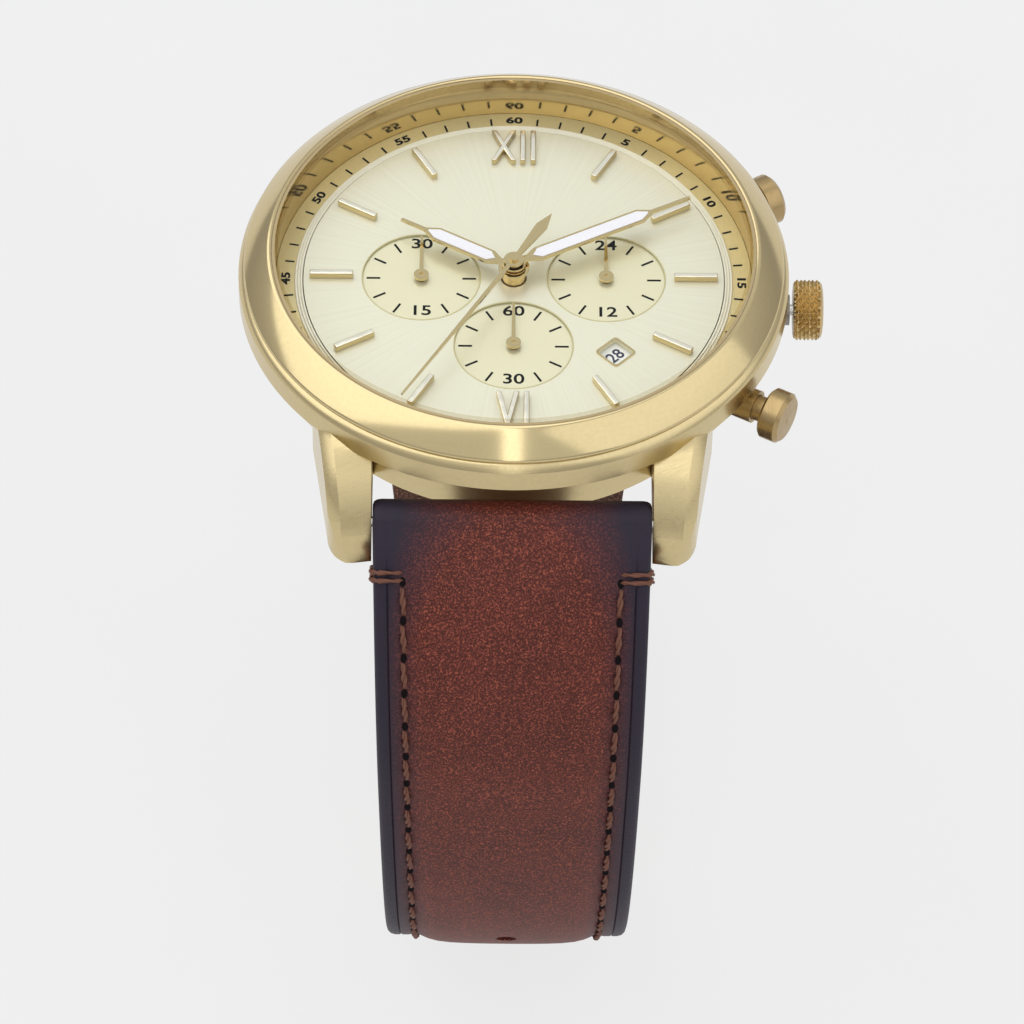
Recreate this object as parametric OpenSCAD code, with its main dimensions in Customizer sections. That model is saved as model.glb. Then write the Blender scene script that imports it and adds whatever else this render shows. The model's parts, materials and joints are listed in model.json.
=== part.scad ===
// Three-hand chronograph wristwatch on a leather strap, closed into a loop below the case.
// Origin: centre of the case back's outer face. +Z dial normal, +Y towards 12, +X towards 3.

/* [Case] */
// Outer radius of the middle case
case_r = 22.1; // [21.9:0.1:22.4]
// Radius of the movement bore
bore_r = 16.95; // [16.95:0.01:17]
// Height of the case's top face, where the bezel sits
case_top_z = 9.8; // [9.7:0.1:9.8]
// Height of the bezel lip
bezel_top_z = 12; // [11.9:0.1:12.2]
// Radius of the crystal
crystal_r = 19.15; // [19:0.05:19.2]
// Thickness of the crystal
crystal_t = 1.2; // [1:0.1:1.2]

/* [Lugs] */
// Distance between facing lugs
lug_gap = 22.2; // [22.2:0.1:22.4]
// Distance of a spring bar from the case centre
bar_y = 21.4; // [21.3:0.1:21.5]
// Height of the spring bars
bar_z = 2.75; // [2.7:0.05:2.8]

/* [Dial] */
// Height of the dial face
dial_z = 8.35; // [8.3:0.01:8.35]
// Radius of the dial
dial_r = 16.9; // [16.8:0.05:16.9]
// Distance of the sub-dials from the centre
sub_d = 7.43; // [7.4:0.01:7.5]
// Radius of a sub-dial
sub_r = 4.8; // [4.6:0.05:4.8]
// Depth of a sub-dial
sub_depth = 0.15; // [0.1:0.01:0.16]
// Inner radius of the hour markers
marker_r0 = 12.9; // [12.7:0.1:13]
// Outer radius of the hour markers
marker_r1 = 16.4; // [16.2:0.1:16.6]
// Height of an hour marker
marker_h = 0.55; // [0.4:0.05:0.6]

/* [Hands] */
// Length of the hour hand
hour_len = 10.5; // [10:0.1:11]
// Length of the minute hand
minute_len = 16.1; // [15.5:0.1:16.5]
// Length of the chronograph seconds hand
chrono_len = 17.3; // [16.4:0.1:17.4]
// Clockwise angle of the hour hand from 12
hour_deg = 300; // [0:1:360]
// Clockwise angle of the minute hand from 12
minute_deg = 62; // [0:1:360]
// Clockwise angle of the chronograph seconds hand from 12
chrono_deg = 210.5; // [0:0.5:360]

/* [Controls] */
// Height of the crown and pusher axes
control_z = 4.95; // [4.8:0.05:4.95]
// Radius of the crown
crown_r = 2.45; // [2.3:0.05:2.5]
// Length of the crown
crown_len = 2.4; // [2.2:0.1:2.6]
// Angle from the crown to the upper pusher
upper_pusher_deg = 31; // [29:0.5:31]
// Angle from the crown to the lower pusher
lower_pusher_deg = 29; // [28:0.5:30]
// Radius of a pusher cap
cap_r = 2.1; // [2:0.05:2.15]
// Travel of a pusher
pusher_travel = 0.85; // [0.6:0.05:0.85]

/* [Strap] */
// Strap width at the lugs
strap_w0 = 22; // [21.8:0.1:22]
// Strap width at the lowest part of the front
strap_w_low = 20; // [19.8:0.1:20]
// Strap width at the buckle
strap_w1 = 18.2; // [18:0.1:18.2]
// Strap thickness next to the lugs
strap_t0 = 3.6; // [3.4:0.1:3.6]
// Strap thickness at the buckle
strap_t1 = 2.1; // [2:0.05:2.1]
// Thickness of the lining
lining_t = 0.8; // [0.7:0.05:0.9]

/* [Hidden] */
$fn = 96;

gold = [0.77, 0.66, 0.43];
steel = [0.62, 0.62, 0.64];
champagne = [0.85, 0.84, 0.76];
leather_red = [0.42, 0.22, 0.17];

// Case back and bores
back_r = 17.45;
back_rim_z = 0.6;
seat_z = 7.9;
wall_r = crystal_r + 0.05;
ring_top_z = dial_z - 0.02;
track_z = 8.08;
holder_r = 16.8;
spigot_r = 16.85;
holder_z0 = 2.2;
crystal_z1 = bezel_top_z + 0.1;
crystal_z0 = crystal_z1 - crystal_t;
lug_x0 = lug_gap / 2;
lug_x1 = 15.5;
lug_arc_r = 8.65;
lug_arc_y = 14.8;
lug_arc_z = -0.45;
lug_splay = 8.5;
lug_tip_y = 23.4;
lug_corner_r = 2.8;
lug_corner_x = 11.86;
band_z0 = 7.3;
channel_r = 18.2;
channel_z = 3.4;

// Crown and pushers, measured along their own axes
tube_x0 = 17.7;
crown_tube_r = 1.25;
crown_tube_bore = 0.87;
stem_r = 0.45;
crown_x0 = 22.6;
pusher_tube_r = 1.35;
pusher_tube_x1 = 22.2;
pusher_r = 1.03;
pusher_x0 = 23.2;
cap_len = 1.8;
pin_r = 0.5;

// Heights inside the movement
plate_z0 = 5.5;
plate_z1 = 7.3;
bridge_z0 = 3.6;
bridge_z1 = 4.1;
board_z0 = 2.9;
plate_r = 15.4;
arbor_r = 0.25;

// Heights of the hands
sub_hand_z = 8.5;
hour_z = 9.5;
minute_z = 9.97;
chrono_z = 10.4;

// Heights of the straight stretch at the buckle
short_z = -51.2;
tail_z = -53.75;
hinge_y = -1.5;
cross_y0 = -11.6;
cross_y1 = -9.6;
cross_z0 = -55.6;
cross_z1 = -53.35;
bar_r = 0.75;
fold_r = 1.35;
fixed_keeper_y = 2.8;
sliding_keeper_y = 10.6;
keeper_len = 4.6;
keeper_z0 = -55.6;
keeper_z1 = -49.3;
keeper_w = 20.2;
side_steps = 11;

// ---------- general shapes ----------
module tube(ro, ri, z0, z1) {
    translate([0, 0, z0]) difference() {
        cylinder(r = ro, h = z1 - z0);
        translate([0, 0, -1]) cylinder(r = ri, h = z1 - z0 + 2);
    }
}

module disc(r, z0, z1) translate([0, 0, z0]) cylinder(r = r, h = z1 - z0);

module along_x(x0) translate([x0, 0, 0]) rotate([0, 90, 0]) children();

module rod_x(r, x0, x1) along_x(x0) cylinder(r = r, h = x1 - x0);

module o_ring(r, t, z) translate([0, 0, z]) rotate_extrude() translate([r, 0]) circle(r = t, $fn = 24);

function pusher_turn(side) = side > 0 ? upper_pusher_deg : -lower_pusher_deg;
module at_pusher(side) rotate([0, 0, pusher_turn(side)]) translate([0, 0, control_z]) children();

module both_bars() for (s = [-1, 1]) translate([0, s * bar_y, bar_z]) children();

// ---------- case ----------
module case_outline() polygon([[14, back_rim_z], [18.3, back_rim_z], [19, 1.7], [19.8, 3.1],
    [20.6, 4.6], [21.35, 6], [case_r, band_z0], [case_r, 9.15], [21.95, 9.4], [21.8, 9.62],
    [21.5, case_top_z], [14, case_top_z]]);

module lug() difference() {
    intersection() {
        translate([lug_x1, 15, 0]) rotate([0, 0, lug_splay]) translate([-lug_x1, -15, 0])
            translate([0, lug_arc_y, lug_arc_z]) rotate([0, 90, 0]) rotate_extrude(convexity = 4)
                polygon([[0.5, lug_x0 - 3], [lug_arc_r, lug_x0 - 3], [lug_arc_r, lug_x1 - 0.9],
                    [lug_arc_r - 0.75, lug_x1], [0.5, lug_x1]]);
        translate([lug_x0, 0, 0]) rotate([90, 0, 90]) linear_extrude(8)
            polygon([[12, 0.9], [20, 0.4], [22.4, -0.3], [23.1, -0.3], [lug_tip_y, 0.2], [lug_tip_y, 9],
                [12, 9]]);
        union() {
            translate([lug_corner_x, lug_tip_y - lug_corner_r, -1]) cylinder(r = lug_corner_r, h = 11);
            translate([0, 0, -1]) linear_extrude(11) polygon([[lug_x0 - 1, 11], [18.4, 11],
                [lug_corner_x + lug_corner_r, lug_tip_y - lug_corner_r], [lug_corner_x, lug_tip_y],
                [lug_x0 - 1, lug_tip_y]]);
        }
    }
    translate([0, bar_y, bar_z]) rod_x(bar_r - 0.28, lug_x0 - 1, lug_x0 + 1.25);
}

module mid_case() color(gold) difference() {
    union() {
        difference() {
            rotate_extrude() case_outline();
            intersection() {
                rotate_extrude() polygon([[channel_r, -1], [channel_r, channel_z], [case_r, band_z0],
                    [case_r + 2, band_z0], [case_r + 2, -1]]);
                translate([-lug_x0, -30, -2]) cube([lug_gap, 60, 12]);
            }
        }
        for (a = [0, 1], b = [0, 1]) mirror([a, 0, 0]) mirror([0, b, 0]) lug();
    }
    disc(bore_r, -1, seat_z);
    disc(back_r + 0.1, -1, 1.8);
    disc(wall_r, seat_z, case_top_z + 1);
    translate([0, 0, control_z]) rod_x(crown_tube_r, 15, 24);
    for (s = [-1, 1]) at_pusher(s) rod_x(pusher_tube_r, 15, 24);
}

module bezel() color(gold) rotate_extrude() polygon([[wall_r, case_top_z], [21.5, case_top_z],
    [21.68, case_top_z + 0.15], [21.7, 10.15], [21.6, 10.3], [19.65, bezel_top_z],
    [crystal_r + 0.25, bezel_top_z], [crystal_r + 0.25, crystal_z0 - 0.05],
    [wall_r, crystal_z0 - 0.05]]);

module crystal() color([0.9, 0.95, 1, 0.3]) rotate_extrude() polygon([[0, crystal_z0],
    [crystal_r, crystal_z0], [crystal_r, crystal_z1 - 0.25], [crystal_r - 0.25, crystal_z1],
    [0, crystal_z1]]);

module crystal_gasket() color("dimgray") tube(crystal_r + 0.25, crystal_r, crystal_z0 - 0.05, 11.9);

module chapter_ring() color(gold) rotate_extrude() polygon([[bore_r, seat_z],
    [bore_r, ring_top_z], [17.17, ring_top_z], [17.17, ring_top_z - 0.05],
    [17.39, ring_top_z - 0.05], [17.39, ring_top_z - 0.1], [17.61, ring_top_z - 0.1],
    [17.61, track_z], [wall_r, track_z], [wall_r, seat_z]]);

module case_back() color(steel) difference() {
    rotate_extrude() polygon([[0, 0], [back_r - 0.6, 0], [back_r, 0.5], [back_r, 1.2],
        [spigot_r, 1.2], [spigot_r, holder_z0], [0, holder_z0]]);
    disc(16.1, 1.1, 3);
    for (k = [0:5]) rotate([0, 0, 60 * k + 30]) translate([15.2, 0, -1]) cylinder(r = 0.8, h = 1.5);
}

module case_back_gasket() color("black") o_ring(17.2, 0.27, 1.5);

// ---------- dial ----------
sub_places = [[-sub_d, 0], [sub_d, 0], [0, -sub_d]];
date_r = 11.5;
date_half = 1.05;

module date_square(half) rotate([0, 0, -135]) translate([0, date_r])
    polygon([for (c = [[1, 1], [-1, 1], [-1, -1], [1, -1]], k = [0:4])
        let (a = atan2(c[1], c[0]) - 45 + 22.5 * k)
        [c[0] * (half - 0.3) + 0.3 * cos(a), c[1] * (half - 0.3) + 0.3 * sin(a)]]);

module dial() color(champagne) difference() {
    disc(dial_r, dial_z - 0.4, dial_z);
    for (p = sub_places) translate([p[0], p[1], dial_z - sub_depth]) cylinder(r = sub_r, h = 1);
    for (p = sub_places) translate([p[0], p[1], 7]) cylinder(r = 0.4, h = 3);
    translate([0, 0, 7]) cylinder(r = 1.05, h = 3);
    translate([0, 0, 7]) linear_extrude(3) date_square(date_half);
}

module marker_bar(w, r0, r1) translate([-w / 2, r0, dial_z]) cube([w, r1 - r0, marker_h]);

module slant_bar(x0, x1, w) translate([0, 0, dial_z]) linear_extrude(marker_h)
    polygon([[x0 - w / 2, marker_r0], [x0 + w / 2, marker_r0], [x1 + w / 2, marker_r1],
        [x1 - w / 2, marker_r1]]);

module numeral_five() {
    slant_bar(0.72, 0, 0.44);
    slant_bar(-0.72, 0, 0.44);
}

module dial_markers() color([0.93, 0.9, 0.8]) {
    for (h = [1, 2, 3, 4, 5, 7, 8, 9, 10, 11]) rotate([0, 0, -30 * h]) marker_bar(0.5, marker_r0, marker_r1);
    translate([-0.85, 0, 0]) union() {
        slant_bar(-0.8, 0.8, 0.42);
        slant_bar(0.8, -0.8, 0.42);
    }
    translate([0.7, 0, 0]) marker_bar(0.42, marker_r0, marker_r1);
    translate([1.55, 0, 0]) marker_bar(0.42, marker_r0, marker_r1);
    rotate([0, 0, 180]) {
        translate([0.45, 0, 0]) union() numeral_five();
        translate([-1.05, 0, 0]) marker_bar(0.44, marker_r0, marker_r1);
    }
}

module date_window_frame() color(gold) translate([0, 0, dial_z]) difference() {
    linear_extrude(0.08) date_square(date_half + 0.14);
    translate([0, 0, -1]) linear_extrude(3) date_square(date_half);
}

module date_disc() color("white") tube(13.2, 9.9, 7.6, 7.9);

// ---------- hands ----------
module hand_body(len, tip, w) polygon([[-0.3, 0], [-0.3, 1.3], [-w, 2.2], [-w, len - tip - 1.1],
    [-0.17, len - tip], [-0.14, len], [0.14, len], [0.17, len - tip], [w, len - tip - 1.1],
    [w, 2.2], [0.3, 1.3], [0.3, 0]]);

module hand(deg, z, t, hub, bore) rotate([0, 0, -deg]) translate([0, 0, z]) difference() {
    union() {
        linear_extrude(t) children();
        cylinder(r = hub, h = t);
    }
    translate([0, 0, -1]) cylinder(r = bore, h = 3);
}

module hour_hand() color(gold) hand(hour_deg, hour_z, 0.2, 1.25, 0.95) hand_body(hour_len, 2.2, 0.72);

module minute_hand() color(gold) hand(minute_deg, minute_z, 0.2, 0.95, 0.6)
    hand_body(minute_len, 3.5, 0.72);

module chrono_seconds_hand() color(gold) rotate([0, 0, -chrono_deg]) {
    translate([0, 0, chrono_z]) linear_extrude(0.15) union() {
        polygon([[-0.2, 0], [-0.07, chrono_len], [0.07, chrono_len], [0.2, 0]]);
        polygon([[-0.16, 0], [-0.5, -4.4], [0, -6], [0.5, -4.4], [0.16, 0]]);
        circle(r = 0.8);
    }
    disc(0.35, chrono_z, chrono_z + 0.35);
}

module sub_hand(p) translate([p[0], p[1], 0]) {
    translate([0, 0, sub_hand_z]) linear_extrude(0.12) union() {
        polygon([[-0.17, 0], [-0.1, 4.4], [0.1, 4.4], [0.17, 0]]);
        circle(r = 0.6);
    }
    tube(0.6, 0.2, sub_hand_z, sub_hand_z + 0.22);
}

module small_seconds_hand() color(gold) sub_hand(sub_places[2]);
module chrono_minute_hand() color(gold) sub_hand(sub_places[0]);
module hour24_hand() color(gold) sub_hand(sub_places[1]);

// ---------- movement ----------
pillar_angles = [165, 205, 232];

module movement_holder() color("ivory") difference() {
    tube(holder_r, plate_r + 0.05, holder_z0, dial_z - 0.4);
    translate([10, -1.5, 1]) cube([12, 3, 5.2]);
    for (s = [-1, 1]) rotate([0, 0, pusher_turn(s)]) translate([10, -1.6, 1]) cube([12, 3.2, 5.2]);
}

module main_plate() color([0.72, 0.7, 0.66]) difference() {
    union() {
        disc(plate_r, plate_z0, plate_z1);
        for (a = pillar_angles) rotate([0, 0, a]) translate([11.5, 0, bridge_z1])
            cylinder(r = 1, h = plate_z0 - bridge_z1 + 0.5);
    }
    translate([0, 0, 5]) cylinder(r = 1, h = 4);
    for (p = sub_places) translate([p[0], p[1], 5]) cylinder(r = arbor_r + 0.05, h = 4);
}

module train_bridge() color([0.8, 0.75, 0.55]) difference() {
    intersection() {
        disc(13, bridge_z0, bridge_z1);
        translate([-14, -14, 0]) cube([23, 17.8, 10]);
    }
    translate([0, 0, 3]) cylinder(r = arbor_r + 0.05, h = 2);
    for (p = sub_places) translate([p[0], p[1], 3]) cylinder(r = arbor_r + 0.05, h = 2);
    translate([-5.5, -14.5, 3]) cube([11, 4.6, 2]);
}

module bridge_screws() color(steel) for (a = pillar_angles) rotate([0, 0, a])
    translate([11.5, 0, 0]) difference() {
        disc(0.8, bridge_z0 - 0.28, bridge_z0);
        translate([-1, -0.1, bridge_z0 - 0.4]) cube([2, 0.2, 0.25]);
    }

module circuit_board() color("darkgreen") difference() {
    disc(14.8, board_z0 - 0.3, board_z0);
    translate([0, 9.4, 1]) cylinder(r = 5.3, h = 3);
    translate([-5.6, -14, 1]) cube([11.2, 4.4, 3]);
}

module quartz_crystal() color("silver") translate([-10.5, 4.5, 1.9])
    rotate([0, 90, -60]) cylinder(r = 0.65, h = 4);

module motor_coils() color("orangered") translate([-4.5, -12, 3.2]) {
    difference() {
        rod_x(1.1, 0, 9);
        rod_x(0.4, -1, 10);
    }
    rod_x(0.4, -0.4, 9.4);
}

module coin_cell() color("silver") translate([0, 9.4, 2.6]) union() {
    cylinder(r = 4.75, h = 2.7);
    translate([0, 0, -0.15]) cylinder(r = 4.1, h = 0.2);
}

module battery_clamp() color("gold") translate([-1.2, 3.2, 2.2]) cube([2.4, 11.3, 0.2]);

module wheel(p, r, z, top) translate([p[0], p[1], 0]) {
    disc(r, z, z + 0.2);
    disc(arbor_r, bridge_z0 + 0.05, top);
}

module hour_wheel() color("gold") union() {
    tube(0.95, 0.66, 7.38, hour_z + 0.25);
    tube(3.2, 0.66, 7.38, 7.55);
}

module minute_wheel() color("gold") union() {
    tube(0.6, 0.33, 4.95, minute_z + 0.25);
    tube(3, 0.33, 4.95, 5.15);
}

module chrono_wheel() color("gold") union() {
    disc(0.28, 4.3, chrono_z);
    disc(arbor_r, bridge_z0 + 0.05, 4.6);
    disc(2.6, 4.35, 4.55);
}

module seconds_wheel() color("gold") wheel(sub_places[2], 1.9, 4.7, sub_hand_z);
module chrono_minute_wheel() color("gold") wheel(sub_places[0], 1.9, 4.7, sub_hand_z);
module hour24_wheel() color("gold") wheel(sub_places[1], 1.9, 4.7, sub_hand_z);

// ---------- crown and pushers ----------
module crown_tube() color(steel) translate([0, 0, control_z]) along_x(tube_x0)
    tube(crown_tube_r, crown_tube_bore, 0, 22.3 - tube_x0);

module crown() color(gold) translate([0, 0, control_z]) along_x(crown_x0) difference() {
    rotate_extrude() polygon([[0, 0], [crown_r - 0.35, 0], [crown_r, 0.3], [crown_r, crown_len - 0.4],
        [crown_r - 0.4, crown_len - 0.08], [crown_r - 1, crown_len], [0, crown_len]]);
    translate([0, 0, -1]) cylinder(r = stem_r, h = 2.4);
}

module winding_stem() color(steel) translate([0, 0, control_z]) rod_x(stem_r, 9.6, crown_x0 + 1.4);

module crown_gasket() color("black") translate([0, 0, control_z]) along_x(0)
    o_ring((stem_r + crown_tube_bore) / 2, 0.19, 20);

module pusher_tubes() color(gold) for (s = [-1, 1]) at_pusher(s) along_x(tube_x0 + 0.2) difference() {
    cylinder(r = pusher_tube_r, h = pusher_tube_x1 - tube_x0 - 0.2);
    translate([0, 0, 0.3]) cylinder(r = pusher_r + 0.04, h = 9);
    translate([0, 0, -1]) cylinder(r = pin_r + 0.05, h = 3);
}

module pusher(side) color(gold) at_pusher(side) {
    along_x(pusher_x0) rotate_extrude() polygon([[0, 0], [cap_r - 0.2, 0], [cap_r, 0.2],
        [cap_r, cap_len - 0.35], [cap_r - 0.3, cap_len - 0.05], [0, cap_len]]);
    rod_x(pusher_r, 20.4, pusher_x0);
    rod_x(pin_r, 17.1, 20.4);
}

module upper_pusher() pusher(1);
module lower_pusher() pusher(-1);

module pusher_clip(side) color(steel) at_pusher(side) along_x(17.5) tube(0.95, pin_r, 0, 0.2);

module upper_pusher_clip() pusher_clip(1);
module lower_pusher_clip() pusher_clip(-1);

// Coil of wire along X: sides around the wire, turns along the length
function coil_ring(r, wire, a, x, sides) = [for (k = [0:sides - 1])
    let (b = 360 * k / sides, q = r + wire * cos(b)) [x + wire * sin(b), q * cos(a), q * sin(a)]];

module tube_mesh(rings, sides) {
    n = len(rings);
    points = [for (ring = rings) each ring];
    walls = [for (i = [0:n - 2], k = [0:sides - 1]) let (m = (k + 1) % sides)
        [i * sides + k, i * sides + m, (i + 1) * sides + m, (i + 1) * sides + k]];
    polyhedron(points, concat([[for (k = [sides - 1:-1:0]) k]], walls,
        [[for (k = [0:sides - 1]) (n - 1) * sides + k]]), convexity = 10);
}

module coil_x(r, wire, x0, x1, turns) {
    steps = turns * 9;
    tube_mesh([for (i = [0:steps]) coil_ring(r, wire, 40 * i, x0 + (x1 - x0) * i / steps, 5)], 5);
}

module pusher_springs() color(steel) for (s = [-1, 1]) at_pusher(s) coil_x(0.8, 0.1, 18.4, 19.35, 3);

// ---------- spring bars ----------
tip_collar_x = 10.3;

module spring_bars() color(steel) both_bars() along_x(-9.3) tube(bar_r, 0.47, 0, 18.6);

module spring_bar_springs() color(steel) both_bars() coil_x(0.33, 0.08, -6.2, 6.2, 8);

module tip(side, end) color(steel) translate([0, end * bar_y, bar_z]) mirror([side > 0 ? 0 : 1, 0, 0])
    union() {
        rod_x(0.42, 7.5, 12);
        rod_x(0.7, tip_collar_x, tip_collar_x + 0.4);
    }

module spring_bar_tip_6_left() tip(-1, -1);
module spring_bar_tip_6_right() tip(1, -1);
module spring_bar_tip_12_left() tip(-1, 1);
module spring_bar_tip_12_right() tip(1, 1);

// ---------- strap ----------
// A centre line runs from a spring bar to the buckle as [y, z] points
function bezier(p, t) = let (u = 1 - t)
    u * u * u * p[0] + 3 * u * u * t * p[1] + 3 * u * t * t * p[2] + t * t * t * p[3];
function arc(p) = [for (i = [1:side_steps]) bezier(p, i / side_steps)];
upper_arc = [[bar_y, bar_z], [bar_y + 5, -1.6], [30.5, -9], [30.5, -18]];
front_arc = [[30.5, -18], [30.5, -36], [26.5, short_z], [11.5, short_z]];
back_arc = [[30.5, -18], [30.5, -33.5], [26.5, short_z], [17, short_z]];
short_side = concat([upper_arc[0]], arc(upper_arc), arc(back_arc));
short_line = concat(short_side, [[12, short_z], [7, short_z], [2.5, short_z], [0.2, short_z],
    [hinge_y, short_z]]);
crossing = [[-14.5, short_z - 0.05], [-12.5, -51.45], [-10.5, -51.85], [-8.5, -52.3],
    [-6.5, -52.75], [-4.5, -53.2], [-2.5, -53.6], [-0.5, tail_z], [2, tail_z], [7, tail_z],
    [12, tail_z]];
front_side = concat([upper_arc[0]], arc(upper_arc), arc(front_arc));
long_side = [for (i = [0:len(front_side) - 2]) [-front_side[i][0], front_side[i][1]]];

function direction(line, i) = let (d = line[min(i + 1, len(line) - 1)] - line[max(i - 1, 0)])
    d / norm(d);
function outward(line, i) = let (d = direction(line, i)) [-d[1], d[0]];
function along(line, i) = i == 0 ? 0 : along(line, i - 1) + norm(line[i] - line[i - 1]);
tail_end = len(short_side) - 1;
tail_curve = [for (k = [0:5]) short_side[tail_end - k]
    + (short_z - tail_z) * outward(short_side, tail_end - k)];
long_line = concat(long_side, crossing, tail_curve);

function strap_width(s, side) = lookup(s, side > 0 ? [[0, strap_w0], [47, 21.5], [61, strap_w1]]
    : [[0, strap_w0], [50, strap_w_low], [70, strap_w1]]);
function strap_thick(s) = lookup(s, [[0, strap_t0], [52, strap_t1]]);

// One layer of a strap half between stations i0 and i1; side is 1 at 12 and -1 at 6
function lining_ring(c, w, t, n) = let (a = c - t * n, b = c + (lining_t - t) * n)
    [[-w, a[0], a[1]], [w, a[0], a[1]], [w, b[0], b[1]], [-w, b[0], b[1]]];
function top_ring(c, w, t, n, e) = let (a = c + (lining_t - t) * n, b = c + (t - abs(e)) * n,
    d = c + t * n) [[-w, a[0], a[1]], [w, a[0], a[1]], [w, b[0], b[1]], [w - e, d[0], d[1]],
    [e - w, d[0], d[1]], [-w, b[0], b[1]]];

module layer(line, side, lining, i0, i1) {
    rings = [for (i = [i0:i1])
        let (s = along(line, i), w = side * strap_width(s, side) / 2, t = strap_thick(s) / 2,
            n = side * outward(line, i))
        lining ? lining_ring(line[i], w, t, n) : top_ring(line[i], w, t, n, 0.5 * side)];
    tube_mesh(rings, lining ? 4 : 6);
}

hole_pitch = 6.5;
hole_r = 0.85;
used_hole = len(long_side) + 5;
function station(line, s, i = 1) = along(line, i) >= s || i == len(line) - 1 ? i
    : station(line, s, i + 1);

module strap_holes() for (k = [-4:2]) {
    s = along(long_line, used_hole) + k * hole_pitch;
    i = station(long_line, s);
    back = along(long_line, i) - s;
    p = long_line[i] - back * direction(long_line, i);
    n = outward(long_line, i);
    translate([0, p[0], p[1]]) rotate([atan2(-n[0], n[1]), 0, 0]) translate([0, 0, -3])
        cylinder(r = hole_r, h = 6);
}

module tongue_slot(y0, y1) translate([-1.15, y0, -57]) cube([2.3, y1 - y0, 9]);

module long_strap(lining) difference() {
    union() {
        layer(long_line, -1, lining, lining ? 1 : 0, len(long_line) - 1);
        if (!lining) translate([0, -bar_y, bar_z]) rod_x(strap_t0 / 2, -strap_w0 / 2, strap_w0 / 2);
    }
    if (!lining) translate([0, -bar_y, bar_z]) rod_x(bar_r + 0.08, -12, 12);
    strap_holes();
    tongue_slot(-5.3, -0.6);
}

module short_strap(lining) difference() {
    union() {
        layer(short_line, 1, lining, lining ? 1 : 0, len(short_line) - (lining ? 3 : 1));
        if (!lining) translate([0, bar_y, bar_z]) rod_x(strap_t0 / 2, -strap_w0 / 2, strap_w0 / 2);
        if (!lining) translate([0, hinge_y, short_z]) rod_x(fold_r, -strap_w1 / 2, strap_w1 / 2);
    }
    if (!lining) translate([0, bar_y, bar_z]) rod_x(bar_r + 0.08, -12, 12);
    if (!lining) translate([0, hinge_y, short_z]) rod_x(bar_r + 0.08, -12, 12);
    if (!lining) tongue_slot(-5, 1.3);
}

module long_strap_top() color(leather_red) long_strap(false);
module long_strap_lining() color("tan") long_strap(true);
module short_strap_top() color(leather_red) short_strap(false);
module short_strap_lining() color("tan") short_strap(true);

module keeper(y0) color(leather_red) difference() {
    translate([-keeper_w / 2, y0, keeper_z0]) cube([keeper_w, keeper_len, keeper_z1 - keeper_z0]);
    translate([-keeper_w / 2 + 0.75, y0 - 1, keeper_z0 + 0.75])
        cube([keeper_w - 1.5, keeper_len + 2, keeper_z1 - keeper_z0 - 1.5]);
}

module fixed_keeper() keeper(fixed_keeper_y);
module sliding_keeper() keeper(sliding_keeper_y);

// ---------- buckle ----------
arm_x0 = 9.4;
arm_x1 = 10.5;

module at_hinge() translate([0, hinge_y, short_z]) children();

module buckle_bar() color(steel) at_hinge() union() {
    rod_x(bar_r, -arm_x0 + 0.1, arm_x0 - 0.1);
    rod_x(0.45, -arm_x1, arm_x1);
}

module buckle_frame() color(gold) difference() {
    union() {
        for (x = [-arm_x1, arm_x0]) translate([x, 0, 0]) rotate([90, 0, 90])
            linear_extrude(arm_x1 - arm_x0) union() {
                translate([hinge_y, short_z]) circle(r = 1.5);
                polygon([[hinge_y, short_z + 1.5], [cross_y0 + 0.5, cross_z1], [cross_y0, cross_z1 - 0.6],
                    [cross_y0, cross_z0 + 0.6], [cross_y0 + 0.5, cross_z0], [cross_y1, cross_z0],
                    [hinge_y, short_z - 1.5]]);
            }
        rotate([90, 0, 90]) translate([0, 0, -arm_x1]) linear_extrude(2 * arm_x1)
            polygon([[cross_y0 + 0.5, cross_z1], [cross_y0, cross_z1 - 0.6], [cross_y0, cross_z0 + 0.6],
                [cross_y0 + 0.5, cross_z0], [cross_y1 - 0.4, cross_z0], [cross_y1, cross_z0 + 0.4],
                [cross_y1, cross_z1 - 0.3], [cross_y1 - 0.3, cross_z1]]);
    }
    at_hinge() rod_x(0.5, -12, 12);
    translate([-1.05, cross_y0 - 1, cross_z0 - 1]) cube([2.1, 4, 2.05]);
}

module buckle_tongue() color(gold) translate([-0.9, 0, 0]) rotate([90, 0, 90]) linear_extrude(1.8)
    difference() {
        union() {
            translate([hinge_y, short_z]) circle(r = 1.35);
            polygon([[-2.6, -51.9], [-5.2, -54.65], [-11.9, -54.65], [-12.1, -54.95], [-11.9, -55.45],
                [-4.8, -55.45], [-1, -52.4]]);
        }
        translate([hinge_y, short_z]) circle(r = bar_r + 0.05);
    }

mid_case();
bezel();
crystal();
crystal_gasket();
chapter_ring();
dial();
dial_markers();
date_window_frame();
movement_holder();
main_plate();
train_bridge();
bridge_screws();
circuit_board();
quartz_crystal();
motor_coils();
coin_cell();
battery_clamp();
case_back();
case_back_gasket();
crown_tube();
pusher_tubes();
pusher_springs();
spring_bars();
spring_bar_springs();
spring_bar_tip_6_left();
spring_bar_tip_6_right();
spring_bar_tip_12_left();
spring_bar_tip_12_right();
long_strap_top();
long_strap_lining();
short_strap_top();
short_strap_lining();
fixed_keeper();
sliding_keeper();
buckle_bar();
buckle_frame();
buckle_tongue();
crown();
winding_stem();
crown_gasket();
upper_pusher();
lower_pusher();
upper_pusher_clip();
lower_pusher_clip();
hour_hand();
hour_wheel();
minute_hand();
minute_wheel();
chrono_seconds_hand();
chrono_wheel();
small_seconds_hand();
seconds_wheel();
chrono_minute_hand();
chrono_minute_wheel();
hour24_hand();
hour24_wheel();
date_disc();
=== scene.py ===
"""Chronograph wristwatch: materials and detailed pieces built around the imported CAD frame."""
import json
import math

import bmesh
import bpy
from mathutils import Matrix, Vector
from mathutils.kdtree import KDTree


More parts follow.
